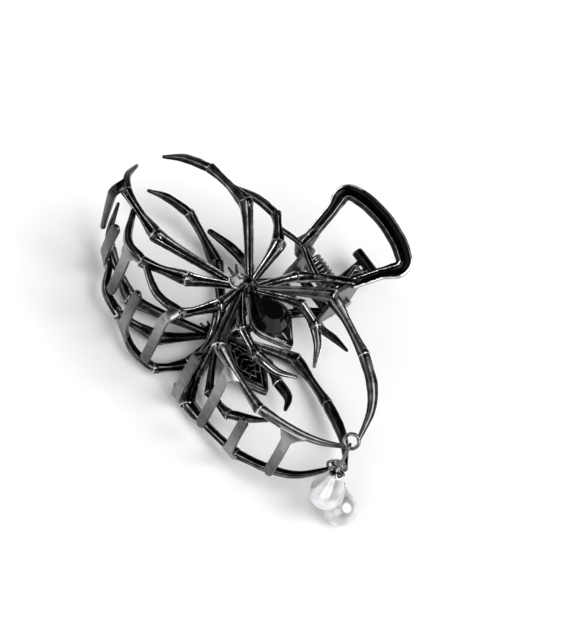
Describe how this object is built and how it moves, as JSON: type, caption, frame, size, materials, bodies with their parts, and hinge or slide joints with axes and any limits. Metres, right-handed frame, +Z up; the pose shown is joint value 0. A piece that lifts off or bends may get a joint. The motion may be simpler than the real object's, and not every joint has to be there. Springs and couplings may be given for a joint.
{
  "type": "hair claw clip",
  "caption": "Metal hair claw with spider-shaped jaws, interleaved flat teeth, a wide loop handle, set stones and hanging drop pearls.",
  "frame": {"origin": "centre of the bounding box of the closed clip in plan, on the surface that it lies on", "axes": "+X along the hinge pin, toward the end that carries the drops; +Y from the row of teeth toward the handles; +Z up, from the rear jaw that lies on the surface to the front jaw"},
  "size_m": [0.1108, 0.0772, 0.0402],
  "materials": {
    "gunmetal": "dark polished plating on cast zinc",
    "pin_steel": "dark plated steel",
    "spring_steel": "drawn spring wire",
    "clear_stone": "faceted, clear",
    "black_stone": "faceted, black",
    "pearl": "pearl coating"
  },
  "bodies": {
    "rear_half": {"rear_jaw": "gunmetal", "hinge_pin": "pin_steel", "torsion_spring": "spring_steel", "rear_head_stone": "clear_stone", "rear_abdomen_stone": "black_stone", "rear_link": "gunmetal", "rear_bead_cap": "gunmetal", "rear_pearl": "pearl"},
    "front_half": {"front_jaw": "gunmetal", "front_head_stone": "clear_stone", "front_abdomen_stone": "black_stone", "front_link": "gunmetal", "front_bead_cap": "gunmetal", "front_pearl": "pearl"}
  },
  "joints": [
    {"name": "jaw_hinge", "type": "hinge", "parent": "rear_half", "child": "front_half", "pos_m": [-0.00439, 0.01702, 0.0201], "axis": [-1, 0, 0], "range_deg": [0, 45], "stiffness_Nm_per_rad": 0.12, "springref_deg": -45.84, "deforming": ["torsion_spring"]}
  ]
}
